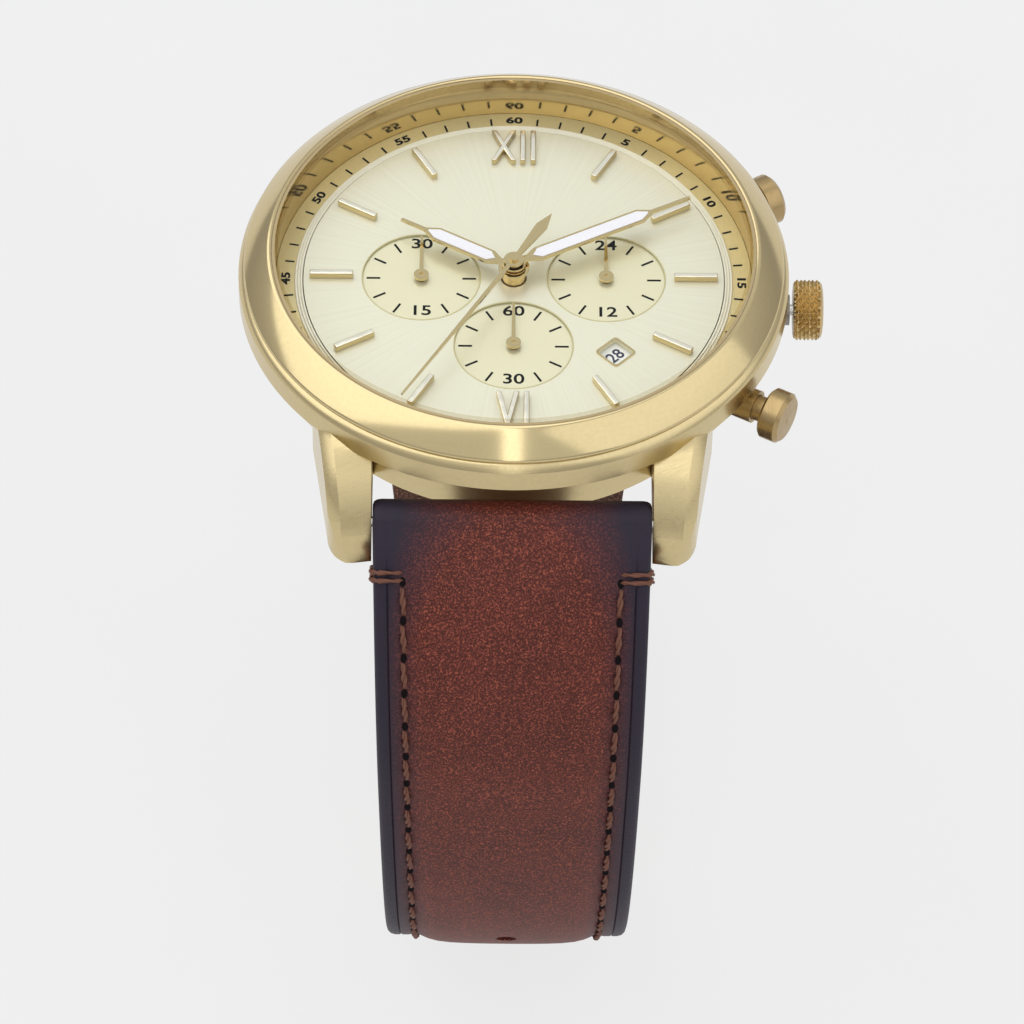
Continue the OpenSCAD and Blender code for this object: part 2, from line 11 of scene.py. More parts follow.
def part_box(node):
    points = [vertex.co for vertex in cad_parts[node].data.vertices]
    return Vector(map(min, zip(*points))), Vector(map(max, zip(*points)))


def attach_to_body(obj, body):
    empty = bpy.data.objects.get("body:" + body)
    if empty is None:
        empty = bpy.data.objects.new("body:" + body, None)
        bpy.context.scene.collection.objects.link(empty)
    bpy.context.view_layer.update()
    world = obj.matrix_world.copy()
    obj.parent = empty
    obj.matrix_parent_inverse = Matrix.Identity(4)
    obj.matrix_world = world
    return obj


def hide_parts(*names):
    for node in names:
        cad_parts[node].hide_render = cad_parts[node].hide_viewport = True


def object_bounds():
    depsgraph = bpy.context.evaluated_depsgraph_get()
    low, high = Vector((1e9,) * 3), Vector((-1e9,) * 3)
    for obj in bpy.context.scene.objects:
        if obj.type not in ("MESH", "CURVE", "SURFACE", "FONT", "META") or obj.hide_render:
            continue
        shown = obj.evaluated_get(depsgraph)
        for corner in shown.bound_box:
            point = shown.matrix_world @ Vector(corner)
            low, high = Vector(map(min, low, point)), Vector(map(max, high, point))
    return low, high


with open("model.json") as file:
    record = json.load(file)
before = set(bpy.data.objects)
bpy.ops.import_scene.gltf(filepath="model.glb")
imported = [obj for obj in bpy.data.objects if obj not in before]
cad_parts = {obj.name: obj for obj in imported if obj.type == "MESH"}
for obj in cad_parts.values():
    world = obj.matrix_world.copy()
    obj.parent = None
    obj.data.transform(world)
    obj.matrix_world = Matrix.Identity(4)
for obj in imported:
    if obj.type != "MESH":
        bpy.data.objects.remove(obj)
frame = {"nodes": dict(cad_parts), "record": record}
cad_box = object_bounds()
MM = 0.001
NODES = frame["nodes"]

# ---------------------------------------------------------------- places taken from the frame
DIAL_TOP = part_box("dial")[1].z
MARKER_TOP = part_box("dial_markers")[1].z
FLOOR_Z = cad_box[0][2]


# ---------------------------------------------------------------- camera
CAMERA_ELEVATION = 48.0
CAMERA_AZIMUTH = -0.5
CAMERA_ROLL = 0.9
CAMERA_DISTANCE = 0.5
PICTURE_WIDTH_MM = 82.249              # width of the picture at the dial
SENSOR_WIDTH = 36
AIM_LEFT_MM = 0.145                    # the picture's middle is this far left of the dial's centre
AIM_BELOW_MM = 19.18                   # and this far below it


def make_camera():
    """Long-lens camera that looks down at the dial from the 6 o'clock side."""
    el, az, roll = (math.radians(v) for v in (CAMERA_ELEVATION, CAMERA_AZIMUTH, CAMERA_ROLL))
    back = Vector((math.sin(az) * math.cos(el), -math.cos(az) * math.cos(el), math.sin(el)))
    level = Vector((math.cos(az), math.sin(az), 0))
    rise = back.cross(level)
    right = math.cos(roll) * level + math.sin(roll) * rise
    up = -math.sin(roll) * level + math.cos(roll) * rise
    data = bpy.data.cameras.new("camera")
    data.sensor_width = SENSOR_WIDTH
    data.lens = SENSOR_WIDTH * CAMERA_DISTANCE / (PICTURE_WIDTH_MM * MM)
    data.clip_start = 0.01
    camera = bpy.data.objects.new("camera", data)
    eye = Vector((0, 0, MARKER_TOP)) + CAMERA_DISTANCE * back
    eye += -AIM_LEFT_MM * MM * right - AIM_BELOW_MM * MM * up
    camera.matrix_world = Matrix.Translation(eye) @ Matrix((right, up, back)).transposed().to_4x4()
    bpy.context.scene.collection.objects.link(camera)
    bpy.context.scene.camera = camera


# ---------------------------------------------------------------- materials
def srgb(r, g, b):
    """Linear colour of an 8-bit sRGB one."""
    def channel(c):
        c /= 255
        return c / 12.92 if c <= 0.04045 else ((c + 0.055) / 1.055) ** 2.4
    return (channel(r), channel(g), channel(b), 1)


class Shader:
    """A principled material with short calls for the nodes that feed it."""

    def __init__(self, name, color, roughness, metallic=0.0, **sockets):
        self.material = bpy.data.materials.new(name)
        self.material.use_nodes = True
        self.tree = self.material.node_tree
        self.bsdf = self.tree.nodes["Principled BSDF"]
        self.set(self.bsdf, {"Base Color": color, "Roughness": roughness, "Metallic": metallic, **sockets})
        self.normal = None

    def set(self, node, values):
        """Links or sets the node's inputs, given by name or number."""
        for key, value in values.items():
            if hasattr(value, "is_output"):
                self.tree.links.new(value, node.inputs[key])
            else:
                node.inputs[key].default_value = value

    def node(self, kind, inputs=None, **settings):
        """New node; the settings come first, because they decide which sockets it has."""
        made = self.tree.nodes.new("ShaderNode" + kind)
        for key, value in settings.items():
            setattr(made, key, value)
        self.set(made, inputs or {})
        return made

    def coords(self):
        return self.node("TexCoord").outputs["Object"]

    def noise(self, vector, scale, detail=4.0, roughness=0.55):
        values = {"Vector": vector, "Scale": scale, "Detail": detail, "Roughness": roughness}
        return self.node("TexNoise", values).outputs["Fac"]

    def voronoi(self, vector, scale, feature="F1"):
        values = {"Vector": vector, "Scale": scale}
        return self.node("TexVoronoi", values, feature=feature).outputs["Distance"]

    def math(self, operation, a, b=0.0):
        return self.node("Math", {0: a, 1: b}, operation=operation).outputs[0]

    def ramp(self, value, stops):
        """Colour ramp; stops are (place, colour or grey level)."""
        made = self.node("ValToRGB", {"Fac": value})
        ramp = made.color_ramp
        while len(ramp.elements) < len(stops):
            ramp.elements.new(0.5)
        for element, (place, color) in zip(ramp.elements, stops):
            element.position = place
            element.color = color if hasattr(color, "__len__") else (color, color, color, 1)
        return made.outputs["Color"]

    def mix(self, factor, a, b):
        """Colour a where factor is 0 and b where it is 1; the colours are the node's sockets 6 and 7."""
        return self.node("Mix", {0: factor, 6: a, 7: b}, data_type="RGBA").outputs[2]

    def bump(self, height, distance_mm, strength=1.0):
        """Adds relief on top of what was added before."""
        values = {"Height": height, "Distance": distance_mm * MM, "Strength": strength}
        if self.normal is not None:
            values["Normal"] = self.normal
        self.normal = self.node("Bump", values).outputs["Normal"]
        self.set(self.bsdf, {"Normal": self.normal})

    def into(self, **links):
        """Feeds the surface's colour and roughness."""
        names = {"color": "Base Color", "roughness": "Roughness"}
        self.set(self.bsdf, {names[key]: value for key, value in links.items()})


GOLD = (0.63, 0.512, 0.28, 1)


def dimmed(color, share):
    return tuple(share * c for c in color[:3]) + (1,)


def polished_gold():
    s = Shader("gold_polished", GOLD, 0.1, 1.0)
    s.into(roughness=s.ramp(s.noise(s.coords(), 900, 3), [(0.3, 0.08), (0.75, 0.13)]))
    return s.material


def brushed_metal(name, turn=0.0, color=GOLD, along=(60, 4200, 1400), depth=0.006):
    """Fine parallel brush lines, along the axis whose scale is the smallest."""
    s = Shader(name, color, 0.3, 1.0)
    turned = s.node("Mapping", {"Vector": s.coords(), "Rotation": (0, 0, turn)}).outputs["Vector"]
    stretched = s.node("Mapping", {"Vector": turned, "Scale": along}).outputs["Vector"]
    lines = s.noise(stretched, 1.0, 5, 0.6)
    s.into(roughness=s.ramp(lines, [(0.25, 0.22), (0.75, 0.4)]),
           color=s.mix(s.math("MULTIPLY", lines, 0.35), color, dimmed(color, 0.8)))
    s.bump(lines, depth, 0.7)
    return s.material


def plain(name, color, roughness, metallic=0.0, grain=800, depth=0.01, **sockets):
    """A moulded or stamped surface: fine grain in the colour, the gloss and the relief."""
    s = Shader(name, color, roughness, metallic, **sockets)
    grain_value = s.noise(s.coords(), grain, 4)
    s.into(color=s.mix(s.ramp(grain_value, [(0.35, 0.0), (0.7, 0.6)]), color, dimmed(color, 0.93)),
           roughness=s.ramp(grain_value, [(0.3, 0.93 * roughness), (0.7, 1.07 * roughness)]))
    s.bump(grain_value, depth)
    return s.material


def assign(material, *names):
    """Gives a material to CAD nodes."""
    for name in names:
        obj = NODES[name]
        if not obj.data.materials:
            obj.data.materials.append(material)
        for slot in obj.material_slots:
            slot.material = material


def crystal_glass(name="crystal_glass", tint=(0.985, 0.99, 0.985, 1), ior=1.25):
    """Clear glass that lets the dial's light straight through and reflects on its outer side only."""
    material = bpy.data.materials.new(name)
    material.use_nodes = True
    tree = material.node_tree
    tree.nodes.clear()
    out = tree.nodes.new("ShaderNodeOutputMaterial")
    clear = tree.nodes.new("ShaderNodeBsdfTransparent")
    gloss = tree.nodes.new("ShaderNodeBsdfGlossy")
    fresnel = tree.nodes.new("ShaderNodeFresnel")
    mix = tree.nodes.new("ShaderNodeMixShader")
    clear.inputs["Color"].default_value = tint
    gloss.inputs["Roughness"].default_value = 0.02
    fresnel.inputs["IOR"].default_value = ior
    outer_side = tree.nodes.new("ShaderNodeMath")
    outer_side.operation = "SUBTRACT"
    outer_side.use_clamp = True
    tree.links.new(fresnel.outputs[0], outer_side.inputs[0])
    tree.links.new(tree.nodes.new("ShaderNodeNewGeometry").outputs["Backfacing"], outer_side.inputs[1])
    tree.links.new(outer_side.outputs[0], mix.inputs[0])
    tree.links.new(clear.outputs[0], mix.inputs[1])
    tree.links.new(gloss.outputs[0], mix.inputs[2])
    tree.links.new(mix.outputs[0], out.inputs["Surface"])
    return material


def dial_lacquer():
    """Champagne lacquer with a faint sunray, yellower and finely turned inside the counters."""
    s = Shader("dial_champagne", srgb(228, 225, 205), 0.34, 0.5)
    place = s.coords()
    split = s.node("SeparateXYZ", {"Vector": place})
    angle = s.math("ARCTAN2", split.outputs["Y"], split.outputs["X"])
    ray_place = s.node("CombineXYZ", {"X": s.math("MULTIPLY", angle, 40.0)}).outputs[0]
    rays = s.noise(ray_place, 1.0, 4, 0.7)
    deep = s.math("LESS_THAN", split.outputs["Z"], DIAL_TOP - 0.05 * MM)
    base = s.mix(s.ramp(rays, [(0.3, 0.0), (0.7, 1.0)]), srgb(232, 229, 210), srgb(224, 219, 196))
    s.into(color=s.mix(deep, base, srgb(227, 221, 190)),
           roughness=s.ramp(rays, [(0.3, 0.3), (0.7, 0.4)]))
    s.bump(rays, 0.004, 0.5)
    s.bump(s.noise(place, 2500, 2), 0.002, 0.4)
    return s.material


def leather(name, red, dark, edge, lining=False):
    """Waxed hide: mottled speckle, and unless it is a lining a darker dyed margin and edge paint, which
    spreads further in near the lugs as painted shade.
    """
    s = Shader(name, red, 0.42, 0.0, **{"Specular IOR Level": 0.2})
    place = s.coords()
    away = s.node("Attribute", attribute_name="edge_mm").outputs["Fac"]
    cloud = s.noise(place, 120, 6, 0.62)
    speck = s.noise(place, 6200, 3, 0.8)
    pores = s.voronoi(place, 3800)
    tone = s.mix(s.ramp(cloud, [(0.2, 0.0), (0.8, 1.0)]), dark, red)
    light = (3.0 * red[0], 3.6 * red[1], 3.0 * red[2], 1)
    tone = s.mix(s.ramp(speck, [(0.38, 0.9), (0.5, 0.0)]), tone, dimmed(red, 0.45))
    tone = s.mix(s.ramp(speck, [(0.52, 0.0), (0.65, 1.0)]), tone, light)
    tone = s.mix(s.ramp(pores, [(0.0, 0.6), (0.3, 0.0)]), tone, dark)
    # dark margin: the dyed edge, widened near the lugs into painted shade at the fold's corners
    if not lining:
        tone = s.mix(s.ramp(s.math("MULTIPLY", away, 0.25), [(0.22, 1.0), (0.9, 0.0)]), tone, edge)
    s.into(color=tone, roughness=s.ramp(speck, [(0.3, 0.42), (0.7, 0.58)]))
    s.bump(s.voronoi(place, 3200, "SMOOTH_F1"), 0.03, 0.5)
    s.bump(s.noise(place, 900, 5), 0.05, 0.45)
    s.bump(speck, 0.05, 0.5)
    return s.material


def attach(obj, body, *nodes, slot=None):
    """Rides obj on a body, and hides the CAD nodes where some are named."""
    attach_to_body(obj, body)
    if nodes:
        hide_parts(*nodes)


def mesh_object(name, vertices, faces, material, smooth=True):
    """New object; vertices are in millimetres."""
    mesh = bpy.data.meshes.new(name)
    mesh.from_pydata([tuple(MM * c for c in v) for v in vertices], [], faces)
    mesh.validate()
    mesh.update()
    mesh.materials.append(material)
    mesh.polygons.foreach_set("use_smooth", [smooth] * len(mesh.polygons))
    obj = bpy.data.objects.new(name, mesh)
    bpy.context.scene.collection.objects.link(obj)
    return obj


def tube_faces(rings, sides, closed=False):
    """Quads between successive rings of points, with end caps unless the rings close up."""
    faces = []
    count = rings if closed else rings - 1
    for i in range(count):
        j = (i + 1) % rings
        faces += [(i * sides + k, i * sides + (k + 1) % sides, j * sides + (k + 1) % sides, j * sides + k)
                  for k in range(sides)]
    if not closed:
        faces.append(tuple(range(sides))[::-1])
        faces.append(tuple((rings - 1) * sides + k for k in range(sides)))
    return faces


def recalculate(obj):
    """Turns all face normals outwards."""
    mesh = bmesh.new()
    mesh.from_mesh(obj.data)
    bmesh.ops.recalc_face_normals(mesh, faces=mesh.faces)
    mesh.to_mesh(obj.data)
    mesh.free()


def lathe(name, profile, material, closed=True, around=256):
    """Solid of revolution about the watch's axis; profile is (radius, height) in millimetres."""
    vertices = [(r * math.cos(2 * math.pi * k / around), r * math.sin(2 * math.pi * k / around), z)
                for r, z in profile for k in range(around)]
    obj = mesh_object(name, vertices, tube_faces(len(profile), around, closed), material)
    recalculate(obj)
    obj.data.set_sharp_from_angle(angle=math.radians(40))
    return obj


def refined(node, material, bevel_mm, segments=2, angle=25, crisp_inside=0.0):
    """A softened copy of a CAD node: flat patches are joined and sharp edges are rounded.

    High edges nearer the axis than crisp_inside millimetres stay sharp.
    """
    source = NODES[node]
    obj = bpy.data.objects.new(node + "_finished", source.data.copy())
    bpy.context.scene.collection.objects.link(obj)
    mesh = bmesh.new()
    mesh.from_mesh(obj.data)
    bmesh.ops.remove_doubles(mesh, verts=mesh.verts, dist=0.0015 * MM)
    bmesh.ops.dissolve_limit(mesh, angle_limit=math.radians(0.5), verts=mesh.verts, edges=mesh.edges)
    limit = math.radians(angle)
    sharp = [e for e in mesh.edges if len(e.link_faces) == 2 and e.calc_face_angle(0) > limit
             and (e.verts[0].co.z < DIAL_TOP or e.verts[0].co.xy.length > crisp_inside * MM)]
    bmesh.ops.bevel(mesh, geom=sharp, offset=bevel_mm * MM, segments=segments, profile=0.5,
                    affect="EDGES", clamp_overlap=True)
    mesh.to_mesh(obj.data)
    mesh.free()
    obj.data.materials.clear()
    obj.data.materials.append(material)
    for polygon in obj.data.polygons:
        polygon.use_smooth = True
    obj.data.set_sharp_from_angle(angle=math.radians(35))
    shading = obj.modifiers.new("shading", "WEIGHTED_NORMAL")
    shading.keep_sharp = True
    bodies = frame["record"]["behaviour"]["bodies"]
    attach(obj, next(body for body, nodes in bodies.items() if node in nodes), node)
    return obj


# ---------------------------------------------------------------- printed marks
class Print:
    """Collects flat inked marks, in millimetres, into one mesh."""

    def __init__(self):
        self.vertices, self.faces = [], []

    def add(self, vertices, faces, matrix):
        start = len(self.vertices)
        self.vertices += [tuple(matrix @ Vector(v)) for v in vertices]
        self.faces += [tuple(start + k for k in face) for face in faces]

    def bar(self, width, length, matrix, thick=0.02):
        """Straight mark."""
        w, h = width / 2, length / 2
        vertices = [(x, y, z) for z in (0, thick) for x, y in ((-w, -h), (w, -h), (w, h), (-w, h))]
        faces = [(3, 2, 1, 0), (4, 5, 6, 7)]
        faces += [(k, (k + 1) % 4, (k + 1) % 4 + 4, k + 4) for k in range(4)]
        self.add(vertices, faces, matrix)

    def text(self, body, size, matrix, widen=1.15, weight=0.03, thick=0.01):
        """Number drawn size high, stretched sideways by widen and thickened by weight."""
        curve = bpy.data.curves.new("glyphs", "FONT")
        curve.body = body
        curve.size = size
        curve.align_x, curve.align_y = "CENTER", "CENTER"
        curve.offset = weight
        curve.extrude = thick
        curve.resolution_u = 4
        holder = bpy.data.objects.new("glyphs", curve)
        bpy.context.scene.collection.objects.link(holder)
        bpy.context.view_layer.update()
        seen = holder.evaluated_get(bpy.context.evaluated_depsgraph_get())
        mesh = bpy.data.meshes.new_from_object(seen)
        vertices = [(v.co.x * widen, v.co.y, v.co.z) for v in mesh.vertices]
        self.add(vertices, [tuple(p.vertices) for p in mesh.polygons], matrix)
        bpy.data.objects.remove(holder)
        bpy.data.curves.remove(curve)
        bpy.data.meshes.remove(mesh)

    def finish(self, name, material, body, slot):
        obj = mesh_object(name, self.vertices, self.faces, material, smooth=False)
        attach(obj, body, slot=slot)


def at(x, y, z, turn_deg=0.0):
    """Place at x, y, z in millimetres, turned clockwise as seen from above."""
    return Matrix.Translation((x, y, z)) @ Matrix.Rotation(math.radians(-turn_deg), 4, "Z")


def polar(radius, clock_deg):
    """(x, y) at an angle measured clockwise from 12 o'clock."""
    a = math.radians(clock_deg)
    return radius * math.sin(a), radius * math.cos(a)


DIAL_MM = DIAL_TOP / MM
SUB_RADIUS = 4.8                       # counters: radius, distance from the dial's centre, sunk depth
SUB_OFFSET = 7.43
SUB_DEPTH = 0.15
SUB_NUMBER = 1.5
TRACK_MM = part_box("chapter_ring")[1].z / MM - 0.25
DATE_RADIUS = 11.5
DATE_CLOCK = 135                       # the date window, at half past four
DATE_SHOWN = 28


def counters(ink):
    """Ticks and numbers of the three counters."""
    marks = Print()
    z = DIAL_MM - SUB_DEPTH
    for cx, cy, top, bottom in ((-SUB_OFFSET, 0, "30", "15"), (SUB_OFFSET, 0, "24", "12"),
                                (0, -SUB_OFFSET, "60", "30")):
        for hour in range(12):
            if hour % 6:
                x, y = polar(3.85, 30 * hour)
                marks.bar(0.18, 1.1, at(cx + x, cy + y, z, 30 * hour))
        marks.text(top, SUB_NUMBER, at(cx, cy + 3.85, z), widen=1.2, weight=0.025)
        marks.text(bottom, SUB_NUMBER, at(cx, cy - 3.6, z), widen=1.2, weight=0.025)
    marks.finish("counter_printing", ink, "watch", "rubber_seal")


def counter_rims(material):
    """Thin turned rim round each counter."""
    vertices, faces = [], []
    around = 120
    section = ((SUB_RADIUS - 0.1, -0.02), (SUB_RADIUS - 0.08, 0.02), (SUB_RADIUS, 0.03),
               (SUB_RADIUS + 0.02, -0.02))
    for cx, cy in ((-SUB_OFFSET, 0), (SUB_OFFSET, 0), (0, -SUB_OFFSET)):
        start = len(vertices)
        for r, z in section:
            turns = [2 * math.pi * k / around for k in range(around)]
            vertices += [(cx + r * math.cos(a), cy + r * math.sin(a), DIAL_MM + z) for a in turns]
        faces += [tuple(start + k for k in face)
                  for face in tube_faces(len(section), around, closed=True)]
    obj = mesh_object("counter_rims", vertices, faces, material)
    recalculate(obj)
    attach(obj, "watch", slot="gold_hands")


def minute_track(ink):
    """Black minute ticks and five-minute numbers on the chapter ring."""
    marks = Print()
    for minute in range(60):
        number = minute % 5 == 0
        x, y = polar(18.3 if number else 18.15, 6 * minute)
        here = at(x, y, TRACK_MM + 0.005, 6 * minute)
        if number:
            marks.text(str(minute or 60), 0.95, here, widen=1.45, weight=0.035)
        else:
            marks.bar(0.16, 0.75, here)
    marks.finish("minute_track_printing", ink, "watch", "rubber_seal")


def dates(ink):
    """The 31 numbers of the date disc, one of them in the window."""
    marks = Print()
    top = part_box("date_disc")[1].z / MM
    for day in range(31):
        clock = DATE_CLOCK + day * 360 / 31
        x, y = polar(DATE_RADIUS, clock)
        number = (DATE_SHOWN - 1 + day) % 31 + 1
        marks.text(str(number), 1.5, at(x, y, top, clock + 180), widen=0.95, weight=0.02)
    marks.finish("date_numbers", ink, "date_disc", "white_plastic")


def lume(name, body, length, tip, top_z, clock, material):
    """White luminous filling in the broad part of a hand; tip is the length of its point."""
    w = 0.5
    outline = [(0, 1.75), (w, 2.35), (w, length - tip - 1.15), (0.06, length - tip - 0.35),
               (-0.06, length - tip - 0.35), (-w, length - tip - 1.15), (-w, 2.35)]
    layers = [[(x, y, z) for x, y in outline] for z in (0.0, 0.05)]
    count = len(outline)
    faces = [tuple(range(count))[::-1], tuple(range(count, 2 * count))]
    faces += [(k, (k + 1) % count, (k + 1) % count + count, k + count) for k in range(count)]
    turn = at(0, 0, top_z, clock)
    obj = mesh_object(name, [tuple(turn @ Vector(v)) for layer in layers for v in layer], faces,
                      material, smooth=False)
    recalculate(obj)
    attach(obj, body, slot="white_plastic")


# ---------------------------------------------------------------- strap
# In millimetres, as (y, z): the spring bars, the sides of the loop, and the two levels under the wrist.
BAR_Y, BAR_Z = 21.4, 2.75
SIDE_Y, SIDE_Z = 30.5, -18.0
SHORT_Z, TAIL_Z = -51.2, -53.75
HINGE_Y = -1.5
STRAP_W0, STRAP_W1 = 22.0, 18.2        # widths and thicknesses at the lugs and at the buckle
STRAP_T0, STRAP_T1 = 3.6, 2.1
LINING_MM = 0.6
TUNNEL_R = 0.9                         # round the bars inside the folds
USED_HOLE = (-4.5, -53.2)
HOLE_PITCH = 6.5
SEAM_INSET = 2.35                      # from the strap's edge to its stitching
# Control points of the centre lines: lug to side, side to bottom at 6 and at 12, and the crossing tail.
UPPER = [(BAR_Y, BAR_Z), (BAR_Y + 5, -1.6), (SIDE_Y, -9), (SIDE_Y, SIDE_Z)]
FRONT = [(SIDE_Y, SIDE_Z), (SIDE_Y, -36), (26.5, SHORT_Z), (11.5, SHORT_Z)]
BACK = [(SIDE_Y, SIDE_Z), (SIDE_Y, -33.5), (26.5, SHORT_Z), (17, SHORT_Z)]
CROSSING = [(-14.5, -51.25), (-12.5, -51.45), (-10.5, -51.85), (-8.5, -52.3), (-6.5, -52.75),
            (-4.5, -53.2), (-2.5, -53.6), (-0.5, TAIL_Z), (2, TAIL_Z), (7, TAIL_Z), (12, TAIL_Z)]


def bezier(points, steps):
    """Points along a cubic curve, without its first one."""
    out = []
    for i in range(1, steps + 1):
        t = i / steps
        u = 1 - t
        weights = (u ** 3, 3 * u * u * t, 3 * u * t * t, t ** 3)
        out.append(tuple(sum(w * p[k] for w, p in zip(weights, points)) for k in (0, 1)))
    return out


def normals(line, side):
    """Unit vectors square to the line; side 1 or -1 turns them over."""
    out = []
    for i in range(len(line)):
        a, b = line[max(i - 1, 0)], line[min(i + 1, len(line) - 1)]
        dy, dz = b[0] - a[0], b[1] - a[1]
        length = math.hypot(dy, dz)
        out.append((side * -dz / length, side * dy / length))
    return out


def smooth_line(points, step=0.5):
    """Evenly spaced places on a Catmull-Rom curve through the points, and their spacing."""
    dense = []
    for i in range(len(points) - 1):
        nearby = [points[min(max(j, 0), len(points) - 1)] for j in range(i - 1, i + 3)]
        for k in range(12):
            t = k / 12
            dense.append(tuple(0.5 * (2 * b + (c - a) * t + (2 * a - 5 * b + 4 * c - d) * t * t
                                      + (3 * b - a - 3 * c + d) * t ** 3)
                               for a, b, c, d in zip(*nearby)))
    dense.append(points[-1])
    lengths = [0.0]
    for a, b in zip(dense, dense[1:]):
        lengths.append(lengths[-1] + math.dist(a, b))
    count = int(lengths[-1] / step)
    line, j = [], 0
    for i in range(count + 1):
        s = lengths[-1] * i / count
        while j < len(dense) - 2 and lengths[j + 1] < s:
            j += 1
        f = (s - lengths[j]) / max(lengths[j + 1] - lengths[j], 1e-9)
        line.append(tuple(a + f * (b - a) for a, b in zip(dense[j], dense[j + 1])))
    return line, lengths[-1] / count


def strap_lines():
    """Centre lines of the long half and the short half; the long one's tail lies under the short one."""
    upper, front, back = bezier(UPPER, 11), bezier(FRONT, 11), bezier(BACK, 11)
    short = [UPPER[0]] + upper + back
    gap = SHORT_Z - TAIL_Z
    ends = list(zip(short, normals(short, 1)))[:-7:-1]
    tail = [(y + gap * ny, z + gap * nz) for (y, z), (ny, nz) in ends]
    long_side = [(-y, z) for y, z in ([UPPER[0]] + upper + front)[:-1]]
    return (long_side + CROSSING + tail,
            short + [(12, SHORT_Z), (7, SHORT_Z), (2.5, SHORT_Z), (0.2, SHORT_Z)])


def between(value, stops):
    """Straight-line interpolation through (place, value) stops."""
    for (x0, y0), (x1, y1) in zip(stops, stops[1:]):
        if value <= x1:
            return y0 + (y1 - y0) * max(0, (value - x0) / (x1 - x0))
    return stops[-1][1]


class StrapHalf:
    """One strap half: its centre line, and its sections along it. side is -1 at 6 and 1 at 12."""

    def __init__(self, key, coarse, side):
        self.key, self.side = key, side
        self.line, self.step = smooth_line(coarse)
        self.turned = normals(self.line, side)
        self.length = self.step * (len(self.line) - 1)
        self.is_long = side < 0
        self.pad_end = self.length - (34 if self.is_long else 16)
        if self.is_long:
            self.widths = ((0, STRAP_W0), (50, 20.0), (70, STRAP_W1))
        else:
            self.widths = ((0, STRAP_W0), (47, 21.5), (61, STRAP_W1))

    def half(self, s):
        """Half the width, rounded off at the tail."""
        half = between(s, self.widths) / 2
        if self.is_long and s > self.length - 9:
            half *= math.sqrt(max(0.05, 1 - ((s - self.length + 9) / 9.3) ** 2.6))
        return half

    def thick(self, s):
        return between(s, ((0, STRAP_T0), (52, STRAP_T1)))

    def shape(self, s):
        """(half width, seam place, margin height, how padded, how far from its plain start) at s."""
        ease = between(s, ((2.0, 0.0), (6.5, 1.0)))
        soft = max(0.0, min(1.0, (self.pad_end - s) / 12)) * ease * ease * (3 - 2 * ease)
        half = self.half(s)
        seam = max(half - SEAM_INSET, 0.45 * half)
        drop = between(s, ((0.0, 0.0), (4.0, 0.1)))
        return half, seam, self.thick(s) / 2 - drop - 0.42 * soft, soft, ease

    def leather(self, s):
        """Points (x, height) round the leather's section: edge, creased margin, seam and padded crown."""
        half, seam, margin, soft, ease = self.shape(s)
        crown = self.thick(s) / 2 + 0.22 * soft
        low = LINING_MM - self.thick(s) / 2
        rise = crown - margin
        step = 0.03 + 0.12 * ease
        right = [(half, low + 0.25), (half, margin - 0.5), (half - 0.08, margin - 0.26),
                 (half - 0.28, margin - 0.07), (half - 0.6, margin + 0.02), (half - 0.98, margin + 0.02),
                 (half - 1.1, margin - step), (half - 1.22, margin + 0.02), (seam + 0.65, margin + 0.03),
                 (seam + 0.25, margin - 0.04 * ease), (seam, margin - 0.16 * ease)]
        swell = ((0.93, 0.16), (0.86, 0.46), (0.76, 0.72), (0.62, 0.88), (0.46, 0.95), (0.3, 0.985),
                 (0.15, 0.997))
        right += [(share * seam, margin + lift * rise) for share, lift in swell]
        return (right + [(0.0, crown)] + [(-x, h) for x, h in right[::-1]]
                + [(-half + 0.1, low), (0.0, low), (half - 0.1, low)])

    def lining(self, s):
        """Points (x, height) round the lining's section."""
        half, low = self.half(s), -self.thick(s) / 2
        high = low + LINING_MM
        return [(half, high), (-half, high), (-half, low + 0.15), (-half + 0.12, low + 0.03),
                (-half + 0.3, low), (half - 0.3, low), (half - 0.12, low + 0.03), (half, low + 0.15)]

    def point(self, s, x, lift):
        """Place at arc length s, x across and lift above the centre line."""
        i = min(len(self.line) - 2, max(0, int(s / self.step)))
        f = s / self.step - i
        y, z = (a + f * (b - a) for a, b in zip(self.line[i], self.line[i + 1]))
        ny, nz = self.turned[i]
        return (x, y + lift * ny, z + lift * nz)

    def layer(self, name, section, material, first=1, last=None):
        """A layer swept along the line between two stations."""
        vertices = []
        stations = range(first, last or len(self.line))
        for i in stations:
            ring = section(self.step * i)
            vertices += [self.point(self.step * i, self.side * x, h) for x, h in ring]
        obj = mesh_object(name, vertices, tube_faces(len(stations), len(ring)), material)
        recalculate(obj)
        return obj

    def edge_distances(self, obj):
        """Gives each point its distance from the strap's edge or end, for the leather's darkened edges;
        near the bar the distance is shrunk, so the dark margin spreads in as painted shade.
        """
        tree = KDTree(len(self.line))
        for i, (y, z) in enumerate(self.line):
            tree.insert((0, y, z), i)
        tree.balance()
        away = []
        for v in obj.data.vertices:
            x, y, z = v.co / MM
            s = self.step * tree.find((0, y, z))[1]
            # painted shade: within 9 mm of the bar the distance shrinks, widening the dark margin at the
            # fold's corners
            edge = (self.half(s) - abs(x)) * between(s, ((0, 0.4), (9, 1.0)))
            away.append(max(0, min(edge, self.length - s if self.is_long else 50)))
        attribute = obj.data.attributes.new("edge_mm", "FLOAT", "POINT")
        attribute.data.foreach_set("value", away)


def carve(obj, cutters, additions=()):
    """Adds some meshes to obj, cuts others away from it, and removes them all."""
    for operation, others in (("UNION", additions), ("DIFFERENCE", cutters)):
        for other in others:
            modifier = obj.modifiers.new("carve", "BOOLEAN")
            modifier.operation = operation
            modifier.solver = "EXACT"
            modifier.object = other
    bpy.context.view_layer.update()
    carved = obj.evaluated_get(bpy.context.evaluated_depsgraph_get())
    mesh = bpy.data.meshes.new_from_object(carved)
    obj.modifiers.clear()
    obj.data = mesh
    for other in (*cutters, *additions):
        bpy.data.objects.remove(other)


